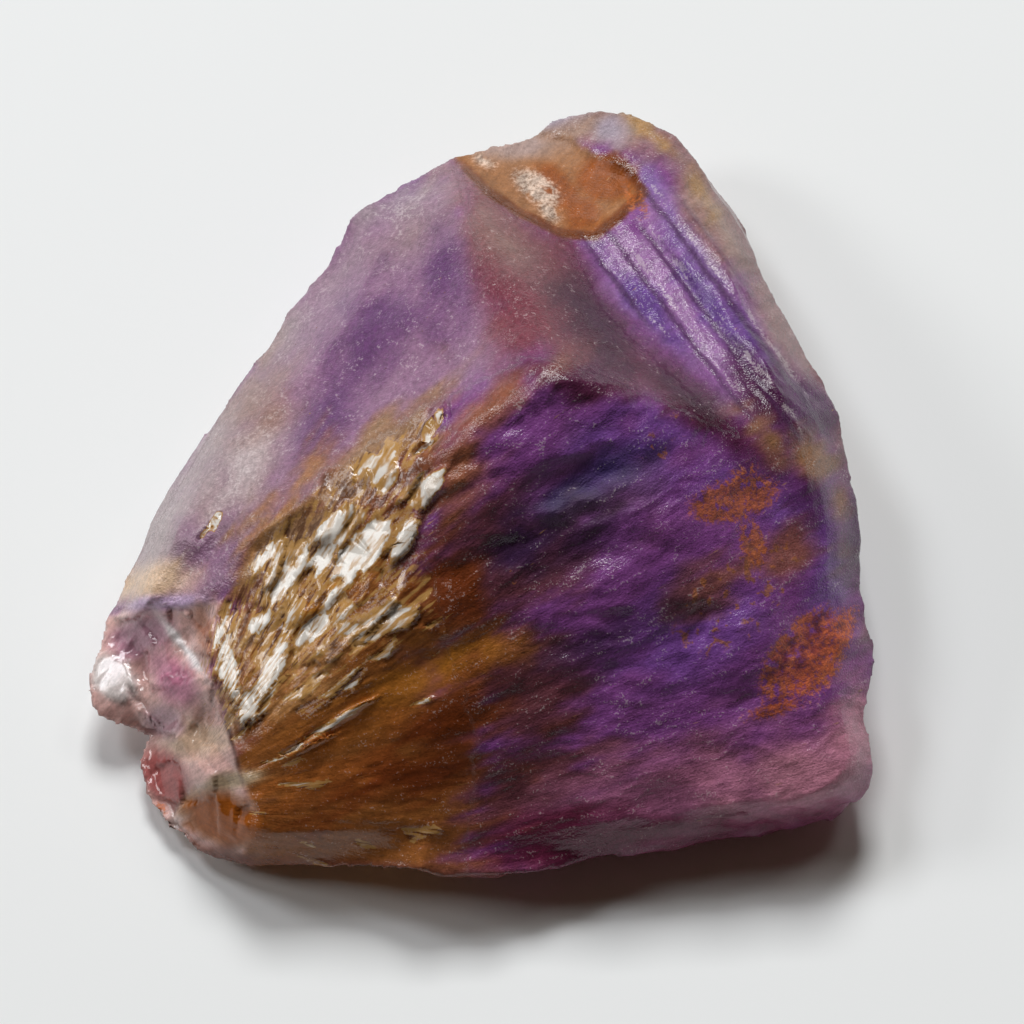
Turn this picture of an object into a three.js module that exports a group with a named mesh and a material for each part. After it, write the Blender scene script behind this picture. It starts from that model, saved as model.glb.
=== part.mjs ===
// Rough ametrine: one broken chunk of purple and amber quartz, as it comes from the ground.
// Millimetres, +Z up. The stone lies on its flattest fracture face, at Z = 0.
// Its upper side is drawn as it is seen from above and in front: u runs to the right and v up the
// view, and z is the height above the table. placed() turns such a point into X, Y and Z.
import * as THREE from "three";
import { ImprovedNoise } from "three/addons/math/ImprovedNoise.js";

// Driving dimensions
const VIEW_ELEVATION = THREE.MathUtils.degToRad(65);
const CENTRE = new THREE.Vector2(-0.6, 0.6); // every outline point is in plain sight of it
const OUTLINE_STEPS = 180;
const INNER_RINGS = 29; // rings of the upper side inside its shoulder
const INNER_SHARE = 0.9; // where they end, as a share of the way out to the outline
const SHOULDER_SHARES = [0.93, 0.953, 0.972, 0.987, 1];
const BASE_SHARES = [0.8, 0.5, 0.2];
const FLANK_DROPS = [0.18, 0.38, 0.6, 0.8, 1]; // rings down the flank, from rim to table
const FLANK_CREASE = 0.38; // how far down the flank it stands out most
const CREST_ROUNDING = 0.7;
const RIM_REACH = 2.3; // how far in from the outline the shoulder starts
const RIM_NOISE = 0.35;
const FLANK_ROUGHNESS = 0.55;
const AMETRINE = { color: 0x6a4468, roughness: 0.32, metalness: 0 };

// The outline in the view, clockwise from the top: [u, v]
const OUTLINE = [
  [2.1, 19.5], [3.4, 19.8], [4.5, 20.0], [5.8, 19.8], [6.9, 19.4], [8.2, 18.6], [9.1, 17.5],
  [9.8, 16.2], [10.7, 14.9], [11.5, 13.6], [12.0, 12.4], [12.5, 11.1], [13.3, 9.7], [14.0, 8.3],
  [14.7, 6.9], [15.3, 5.8], [15.9, 4.9], [16.1, 3.5], [16.3, 2.0], [16.7, 0.6], [16.9, -0.9],
  [16.9, -2.3], [16.9, -3.8], [17.1, -5.2], [17.5, -6.6], [17.5, -7.6], [17.1, -9.1], [16.9, -10.2],
  [17.3, -11.3], [17.5, -12.4], [17.0, -13.6], [15.8, -14.4], [14.0, -15.1], [12.0, -15.5],
  [9.9, -15.8], [8.2, -16.3], [6.2, -16.4], [3.8, -16.7], [1.4, -17.2], [-0.6, -17.4],
  [-2.5, -17.3], [-5.4, -17.1], [-8.3, -17.0], [-10.8, -17.1], [-12.7, -17.1], [-14.3, -16.7],
  [-15.6, -16.0], [-16.6, -15.3], [-17.1, -14.4], [-17.8, -13.6], [-18.1, -12.6], [-18.0, -11.8],
  [-17.5, -11.0], [-17.9, -10.6], [-18.6, -10.5], [-19.4, -10.2], [-20.0, -10.4], [-20.4, -9.4],
  [-20.6, -8.3], [-20.3, -7.2], [-19.8, -5.7], [-19.2, -4.3], [-18.4, -2.6], [-17.6, -0.4],
  [-16.8, 1.1], [-15.7, 2.8], [-14.4, 4.7], [-13.1, 6.7], [-11.8, 8.3], [-10.9, 9.9],
  [-9.9, 11.1], [-9.0, 12.3], [-8.3, 13.6], [-8.1, 14.4], [-7.3, 15.1], [-5.8, 15.9],
  [-4.2, 16.8], [-2.9, 17.6], [-1.6, 17.9], [-0.1, 18.3], [1.1, 18.6],
];

// The rim's height above the table, by bearing: [degrees anticlockwise from +u, height]
const RIM_HEIGHTS = [
  [0, 5.9], [20, 7.2], [46, 5.8], [70, 4.6], [90, 5.7], [118, 5.3], [140, 4.0], [165, 4.3],
  [184, 3.0], [204, 2.6], [214, 1.6], [224, 1.1], [238, 1.3], [248, 2.9], [258, 4.0],
  [270, 3.4], [284, 2.6], [303, 2.1], [316, 2.4], [330, 4.4], [345, 4.9], [360, 5.9],
];

// How far the flank stands out at its crease, by bearing: [degrees anticlockwise from +u, mm]
const FLANK_BULGES = [
  [0, 1.1], [34, 0.3], [58, 1.3], [92, 0.2], [128, 1.0], [160, 0.4], [186, 0.9], [212, 0.1],
  [240, 0.3], [262, 0.9], [292, 0.3], [318, 1.1], [342, 0.4], [360, 1.1],
];

// The resting face's outline on the table, anticlockwise from the right: [X, Y]
const FOOT_CENTRE = new THREE.Vector2(-0.6, -1.2);
const FOOT = [
  [14.6, -2.0], [12.6, 5.0], [10.9, 11.4], [6.4, 16.9], [1.4, 14.2], [-4.2, 13.2], [-9.4, 6.6],
  [-11.4, 1.8], [-15.8, -4.4], [-15.7, -9.4], [-14.6, -13.4], [-11.4, -17.0], [-5.4, -16.2],
  [-0.6, -17.6], [6.4, -15.6], [12.8, -15.4], [14.6, -12.4], [13.6, -7.2],
];

const sinView = Math.sin(VIEW_ELEVATION);
const cosView = Math.cos(VIEW_ELEVATION);
const noise = new ImprovedNoise();

// The real place of a point seen at (u, v) and z above the table.
function placed(u, v, z) {
  return new THREE.Vector3(u, (v - z * cosView) / sinView, z);
}

// A flat fracture face through three seen points [u, v, z], as its height over (u, v).
function fractureFace(first, second, third) {
  const [a, b, c] = [first, second, third].map((p) => new THREE.Vector3(...p));
  const normal = b.clone().sub(a).cross(c.clone().sub(a));
  return (u, v) => a.z - (normal.x * (u - a.x) + normal.y * (v - a.y)) / normal.z;
}

function smoothStep(x, low, high) {
  return THREE.MathUtils.smoothstep(x, low, high);
}

// The lower or the higher of two heights, with the crease between them rounded over width mm.
function softMin(a, b, width) {
  const overlap = Math.max(width - Math.abs(a - b), 0) / width;
  return Math.min(a, b) - (overlap * overlap * width) / 4;
}

function softMax(a, b, width) {
  return -softMin(-a, -b, width);
}

// Coordinates of (u, v) along and across a line that starts at [u0, v0] and runs at a bearing.
function alongAcross(u, v, [u0, v0], degrees) {
  const turn = THREE.MathUtils.degToRad(degrees);
  const along = (u - u0) * Math.cos(turn) + (v - v0) * Math.sin(turn);
  const across = -(u - u0) * Math.sin(turn) + (v - v0) * Math.cos(turn);
  return [along, across];
}

// How far (u, v) lies inside a closed outline of seen points: positive inside, in mm.
function depthInside(u, v, points) {
  const spot = new THREE.Vector2(u, v);
  let inside = false;
  let nearest = Infinity;
  points.forEach(([u1, v1], i) => {
    const [u2, v2] = points[(i + 1) % points.length];
    if (v1 > v !== v2 > v && u < ((u2 - u1) * (v - v1)) / (v2 - v1) + u1) inside = !inside;
    const edge = new THREE.Vector2(u2 - u1, v2 - v1);
    const share = THREE.MathUtils.clamp(
      ((u - u1) * edge.x + (v - v1) * edge.y) / edge.lengthSq(), 0, 1,
    );
    const foot = new THREE.Vector2(u1, v1).addScaledVector(edge, share);
    nearest = Math.min(nearest, foot.distanceTo(spot));
  });
  return inside ? nearest : -nearest;
}

// The large fracture faces, from the seen points that they share
const PEAK = [1.9, 7.0, 16.9];
const CREST_LOW = [-12.7, -4.0, 12.2];
const lilacFace = fractureFace(PEAK, CREST_LOW, [-8.5, 12.5, 6.6]);
const lowerFace = fractureFace(PEAK, CREST_LOW, [5.0, -16.8, 4.9]);
const smokyFace = fractureFace(PEAK, [-2.8, 16.8, 8.4], [9.6, 4.9, 12.9]);
const shelfFace = fractureFace([3.3, 13.7, 8.2], [13.6, 2.9, 12.0], [8.0, 15.4, 7.4]);
const rightFace = fractureFace([8.5, 5.6, 13.9], [13.2, -14.5, 7.0], [16.6, 0.6, 7.6]);
const cornerFace = fractureFace([-13.0, -9.1, 10.6], [-16.9, -4.0, 8.2], [-15.0, -16.0, 3.2]);
const footFace = fractureFace([-12.0, -14.6, 5.2], [15.5, -12.3, 6.2], [2.0, -16.9, 3.4]);

// The broad flaked band along the left crest, narrow at its top end and wide at the corner
function flakedBand(u, v) {
  const [along, across] = alongAcross(u, v, [-2.6, 4.6], 222);
  const cut = 0.1 + 0.16 * Math.max(along, 0);
  return 16.2 - 0.37 * along - cut + 0.12 * across;
}

// Step ledges on the shelf that run down to the right: [distance across, rise]. Each has a
// riser that faces the peak and a tread that falls away behind it.
const LEDGES = [
  [0.5, 0.4], [1.7, 0.45], [3.1, 0.65], [4.4, 0.35], [5.6, 0.25],
];
const RISER_WIDTH = 0.65;
const TREAD_FALL = 0.27;
function ledges(u, v) {
  const [along, across] = alongAcross(u, v, [3.0, 13.4], -54);
  const waver = 0.4 * noise.noise(along * 0.28, across * 0.5, 4.2);
  const fade = smoothStep(along, -0.5, 2.5) * (1 - smoothStep(along, 12.5, 15.5));
  const height = (sum, [at, rise]) => sum + rise * smoothStep(across + waver, at, at + RISER_WIDTH);
  const fall = TREAD_FALL * THREE.MathUtils.clamp(across, 0, 6.8);
  return fade * (LEDGES.reduce(height, 0) - fall);
}

// The rust-stained flake scar under the top edge, a shallow pocket with a crisp lip
const SCAR = [
  [-3.0, 17.7], [-1.2, 15.9], [0.5, 14.6], [2.4, 13.7], [4.0, 13.6], [5.4, 14.6], [6.5, 15.7],
  [5.5, 17.1], [4.2, 17.6], [2.6, 18.8], [0.4, 18.6],
];
const SCAR_DEPTH = 0.55;

// The glassy lower left corner, a step below the flaked band beside it
const CORNER = [
  [-13.9, -4.2], [-14.3, -6.2], [-14.5, -7.9], [-13.7, -9.7], [-13.0, -12.3], [-12.3, -14.2],
  [-13.2, -17.6], [-19.5, -17.0], [-22.0, -9.0], [-20.5, -5.2], [-17.6, -4.5],
];
const CORNER_STEP = 0.5;

// Shell-shaped chips broken out of that corner, and two knobs left standing on it:
// [u, v, radius, depth]
const CHIPS = [
  [-17.2, -6.7, 2.3, 0.95], [-14.9, -6.3, 1.1, 0.3], [-15.2, -10.6, 2.4, 0.6],
  [-14.2, -14.5, 1.9, 0.75], [-16.8, -13.6, 1.7, -0.4], [-19.1, -8.5, 1.6, -0.5],
];
function chips(u, v) {
  return CHIPS.reduce((sum, [cu, cv, radius, depth]) => {
    const share = Math.min(Math.hypot(u - cu, v - cv) / radius, 1);
    return sum + depth * (1 - share * share);
  }, 0);
}

// Ridges that sweep up to the right over the lower face, and steeper flakes on the flaked band
function sweepingRidges(u, v) {
  const [along, across] = alongAcross(u, v, [0, 0], 28);
  const bend = 0.9 * noise.noise(along * 0.13, across * 0.13, 7.7);
  return 1 - 3.2 * Math.abs(noise.noise(along * 0.12, (across + bend) * 0.55, 1.3));
}
function steepFlakes(u, v) {
  const [along, across] = alongAcross(u, v, [0, 0], 54);
  return 0.6 - 2.4 * Math.abs(noise.noise(along * 0.2, across * 0.6, 9.1));
}

// Low swells that keep every fracture face from being flat
function swell(u, v) {
  return 0.5 * noise.noise(u * 0.16, v * 0.16, 2.5) + 0.25 * noise.noise(u * 0.42, v * 0.42, 5.5);
}

// The stone's upper surface before its rim is rounded off
function upperHeight(u, v) {
  const shelf = shelfFace(u, v) + ledges(u, v);
  const backFace = softMax(smokyFace(u, v), shelf, 0.5);
  const lower = lowerFace(u, v) + 0.3 * sweepingRidges(u, v);
  const band = flakedBand(u, v) + 0.45 * steepFlakes(u, v);
  let z = softMin(lilacFace(u, v), backFace, 1.6);
  z = softMin(z, lower, CREST_ROUNDING);
  z = softMin(z, band, 0.4);
  z = softMin(z, rightFace(u, v), 1.2);
  z = softMin(z, footFace(u, v), 1.0);
  z = softMin(z, cornerFace(u, v), 0.6);
  z -= SCAR_DEPTH * smoothStep(depthInside(u, v, SCAR), 0, 0.35);
  z -= (CORNER_STEP + chips(u, v)) * smoothStep(depthInside(u, v, CORNER), -0.1, 0.7);
  return z + swell(u, v);
}

// How far a closed outline lies from a centre at a bearing.
function outlineRadius(points, centre, bearing) {
  const ray = new THREE.Vector2(Math.cos(bearing), Math.sin(bearing));
  let radius = 0;
  points.forEach(([x1, y1], i) => {
    const [x2, y2] = points[(i + 1) % points.length];
    const start = new THREE.Vector2(x1, y1).sub(centre);
    const edge = new THREE.Vector2(x2 - x1, y2 - y1);
    const turn = ray.cross(edge);
    const distance = start.cross(edge) / turn;
    const share = start.cross(ray) / turn;
    if (share >= 0 && share <= 1 && distance > radius) radius = distance;
  });
  return radius;
}

// A wander that closes on itself round the stone, between -1 and 1.
function roundNoise(bearing, speed, layer) {
  return noise.noise(Math.cos(bearing) * speed, Math.sin(bearing) * speed, layer);
}

// A value at a bearing, from a table of degrees and values.
function valueAt(table, bearing) {
  const degrees = (THREE.MathUtils.radToDeg(bearing) + 360) % 360;
  const next = table.findIndex(([at]) => at > degrees);
  const [from, low] = table[next - 1];
  const [to, high] = table[next];
  return THREE.MathUtils.mapLinear(degrees, from, to, low, high);
}

function rimHeight(bearing) {
  return valueAt(RIM_HEIGHTS, bearing) + RIM_NOISE * roundNoise(bearing, 7, 0.4);
}

// The upper surface, brought down to the rim over a shoulder that is blunt here and round there.
function topPoint(bearing, share) {
  const radius = outlineRadius(OUTLINE, CENTRE, bearing);
  const u = CENTRE.x + radius * share * Math.cos(bearing);
  const v = CENTRE.y + radius * share * Math.sin(bearing);
  const rim = rimHeight(bearing);
  const reach = RIM_REACH * (1 + 0.4 * roundNoise(bearing, 2.2, 3.1));
  const inward = Math.min((radius * (1 - share)) / reach, 1);
  const shoulder = 1 - (1 - inward) ** (1.9 + 0.8 * roundNoise(bearing, 3, 8.3));
  const height = Math.max(upperHeight(u, v), rim + 0.5);
  return placed(u, v, THREE.MathUtils.lerp(rim, height, shoulder));
}

// A point of the resting face, from its middle out to its edge.
function basePoint(bearing, share) {
  const heading = Math.atan2(Math.sin(bearing) / sinView, Math.cos(bearing));
  const radius = share * outlineRadius(FOOT, FOOT_CENTRE, heading);
  const x = FOOT_CENTRE.x + radius * Math.cos(heading);
  const y = FOOT_CENTRE.y + radius * Math.sin(heading);
  return new THREE.Vector3(x, y, 0);
}

// The broken flank between the rim and the resting face, creased where it stands out most.
function flankPoint(bearing, drop) {
  const rim = topPoint(bearing, 1);
  const foot = basePoint(bearing, 1);
  const outward = rim.clone().sub(foot).setZ(0).normalize();
  const point = rim.lerp(foot, drop);
  const stand = drop < FLANK_CREASE ? drop / FLANK_CREASE : (1 - drop) / (1 - FLANK_CREASE);
  const rough = FLANK_ROUGHNESS * noise.noise(point.x * 0.34, point.y * 0.34, point.z * 0.5);
  return point.addScaledVector(outward, (valueAt(FLANK_BULGES, bearing) + rough) * stand);
}

// One ring of points round the stone, from a surface function of the bearing.
function ring(steps, surface) {
  return Array.from({ length: steps }, (_, i) => surface((i / steps) * 2 * Math.PI));
}

// The triangles between two rings, upper first, that may differ in their number of points.
function bridge(upper, upperStart, lower, lowerStart) {
  const triangles = [];
  let i = 0;
  let o = 0;
  while (i < upper || o < lower) {
    const a = upperStart + (i % upper);
    const b = lowerStart + (o % lower);
    if (o < lower && (i === upper || (o + 1) / lower <= (i + 1) / upper)) {
      triangles.push([a, b, lowerStart + ((o + 1) % lower)]);
      o += 1;
    } else {
      triangles.push([a, b, upperStart + ((i + 1) % upper)]);
      i += 1;
    }
  }
  return triangles.filter(([a, b, c]) => a !== b && b !== c && c !== a);
}

// The rings in order, from the middle of the upper side over the rim to the middle of the base
function stoneRings() {
  const rings = [[topPoint(0, 0)]];
  for (let k = 1; k <= INNER_RINGS; k += 1) {
    const share = (k / INNER_RINGS) * INNER_SHARE;
    const steps = Math.max(6, Math.round(share * OUTLINE_STEPS));
    rings.push(ring(k === INNER_RINGS ? OUTLINE_STEPS : steps, (at) => topPoint(at, share)));
  }
  SHOULDER_SHARES.forEach((share) => {
    rings.push(ring(OUTLINE_STEPS, (at) => topPoint(at, share)));
  });
  FLANK_DROPS.forEach((drop) => {
    rings.push(ring(OUTLINE_STEPS, (at) => flankPoint(at, drop)));
  });
  BASE_SHARES.forEach((share) => {
    rings.push(ring((share * OUTLINE_STEPS) / 2, (at) => basePoint(at, share)));
  });
  rings.push([basePoint(0, 0)]);
  return rings;
}

function stoneGeometry() {
  const rings = stoneRings();
  const starts = rings.map((_, k) => rings.slice(0, k).flat().length);
  const triangles = rings.slice(1).flatMap((lower, k) => (
    bridge(rings[k].length, starts[k], lower.length, starts[k + 1])
  ));
  const geometry = new THREE.BufferGeometry().setFromPoints(rings.flat());
  geometry.setIndex(triangles.flat());
  geometry.computeBoundingBox();
  const middle = geometry.boundingBox.getCenter(new THREE.Vector3());
  geometry.translate(-middle.x, -middle.y, -geometry.boundingBox.min.z);
  geometry.computeVertexNormals();
  return geometry;
}

const stone = new THREE.Mesh(stoneGeometry(), new THREE.MeshStandardMaterial(AMETRINE));
stone.name = "ametrine";

const roughAmetrine = new THREE.Group();
roughAmetrine.name = "rough_ametrine";
roughAmetrine.add(stone);

export default roughAmetrine;
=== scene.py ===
"""Rough ametrine: one broken chunk of purple and amber quartz, lying on its flattest fracture face.

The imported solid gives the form. The stone here is a finer mesh of it, with its flakes, ripples, ledges,
facets and panes worked in, and a quartz material that is clearest at the thin edges and the glassy corner.
Lengths are in millimetres until they are given to Blender, which counts in metres.
"""
import math

import bmesh
import bpy
import numpy as np
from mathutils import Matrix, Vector, noise


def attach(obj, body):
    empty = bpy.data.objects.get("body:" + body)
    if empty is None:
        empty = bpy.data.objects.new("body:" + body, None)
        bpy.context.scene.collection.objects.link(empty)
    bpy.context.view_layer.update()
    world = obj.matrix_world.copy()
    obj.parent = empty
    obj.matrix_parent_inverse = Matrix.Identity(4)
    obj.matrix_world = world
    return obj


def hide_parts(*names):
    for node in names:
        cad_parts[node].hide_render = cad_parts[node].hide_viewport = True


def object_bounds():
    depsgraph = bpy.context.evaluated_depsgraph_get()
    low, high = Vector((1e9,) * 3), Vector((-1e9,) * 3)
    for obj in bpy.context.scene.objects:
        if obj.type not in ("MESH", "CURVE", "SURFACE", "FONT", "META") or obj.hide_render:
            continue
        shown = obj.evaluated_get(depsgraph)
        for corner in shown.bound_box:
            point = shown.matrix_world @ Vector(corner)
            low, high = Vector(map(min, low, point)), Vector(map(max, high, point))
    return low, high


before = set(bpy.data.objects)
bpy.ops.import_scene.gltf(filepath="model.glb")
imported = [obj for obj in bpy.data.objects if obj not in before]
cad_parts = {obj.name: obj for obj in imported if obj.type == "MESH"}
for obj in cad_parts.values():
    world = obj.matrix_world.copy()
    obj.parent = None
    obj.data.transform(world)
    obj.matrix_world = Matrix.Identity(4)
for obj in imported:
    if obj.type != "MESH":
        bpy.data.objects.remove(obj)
cad_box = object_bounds()

MM = 0.001
VIEW_ELEVATION = math.radians(65)
SIN_VIEW = math.sin(VIEW_ELEVATION)
COS_VIEW = math.cos(VIEW_ELEVATION)
DRAWN_AT = Vector((-1.55, -0.52, 0))  # where the stone's middle lay when its upper side was drawn
FRAME_WIDTH = 49.7  # what the picture spans at the stone
AIM_HEIGHT = 6.0  # how high the camera aims above the table
MERGE_DISTANCE = 0.001
MESH_SIZE = 0.14
MOST_TRIANGLES = 190000

# The studio's lamps: degrees right of straight behind the stone, degrees above the table, distance and
# size in metres, watts and colour
LAMPS = {
    "behind": (0, 50, 1.0, 0.33, 7.3, "#FFFFFF"),
    "left": (-50, 52, 0.9, 0.21, 2.1, "#F8FAFF"),
    "right": (46, 52, 0.9, 0.18, 0.4, "#FFFDF8"),
    "side": (-82, 34, 0.9, 0.24, 1.7, "#FFFFFF"),
}

# Places on the upper side, as they are seen from the camera: outlines are lists of (u, v), and a patch is
# an oval (u, v, half length, half width, degrees), all in mm

SCAR = [
    (-3.0, 17.7), (-1.2, 15.9), (0.5, 14.6), (2.4, 13.7), (4.0, 13.6), (5.4, 14.6), (6.5, 15.7), (5.5, 17.1),
    (4.2, 17.6), (2.6, 18.8), (0.4, 18.6),
]
CORNER = [
    (-13.9, -4.2), (-14.3, -6.2), (-14.5, -7.9), (-13.7, -9.7), (-13.0, -12.3), (-12.3, -14.2),
    (-13.2, -17.6), (-19.5, -17.0), (-22.0, -9.0), (-20.5, -5.2), (-17.6, -4.5),
]
LILAC_FACE = [
    (-2.8, 17.2), (-8.6, 15.0), (-13.6, 6.2), (-18.2, -1.8), (-20.6, -4.6), (-15.0, -5.6), (-12.6, -4.4),
    (-10.0, -1.2), (-6.0, 3.0), (-2.4, 5.6), (0.6, 7.0), (-1.2, 12.0),
]
SMOKY_FACE = [
    (-2.8, 17.6), (-0.6, 15.4), (3.0, 13.4), (4.6, 9.8), (9.4, 5.2), (12.6, 2.6), (9.0, 4.2), (4.6, 6.2),
    (1.9, 7.0), (-0.6, 7.4), (-1.6, 12.0),
]
SHELF = [
    (3.2, 13.8), (6.3, 14.2), (6.4, 17.8), (8.6, 15.2), (11.4, 11.2), (14.4, 6.2), (15.6, 3.4), (13.4, 3.4),
    (11.0, 4.6), (8.0, 7.8), (4.6, 10.4),
]
RIM_BAND = [
    (-2.0, 20.6), (7.0, 22.4), (13.6, 16.0), (18.8, 5.0), (19.4, -6.0), (17.0, -6.0), (16.4, 0.4),
    (15.4, 3.4), (13.2, 7.2), (11.2, 10.9), (9.0, 14.4), (7.2, 17.4), (5.2, 18.2), (2.6, 18.8), (0.4, 18.6),
]
AMBER = [
    (-3.2, 5.0), (-3.9, 1.4), (-4.2, -2.4), (-3.0, -6.2), (-1.6, -11.0), (-1.8, -14.2), (-2.8, -19.0),
    (-15.4, -19.0), (-14.6, -12.4), (-15.0, -8.0), (-14.8, -4.6), (-12.4, -1.8), (-8.8, 1.8), (-5.6, 4.0),
]
PINK_FOOT = [
    (1.6, -13.8), (4.3, -12.0), (10.1, -10.8), (14.0, -10.1), (18.0, -8.1), (19.2, -15.0), (9.0, -18.0),
    (2.0, -19.4), (-1.0, -19.0),
]

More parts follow.
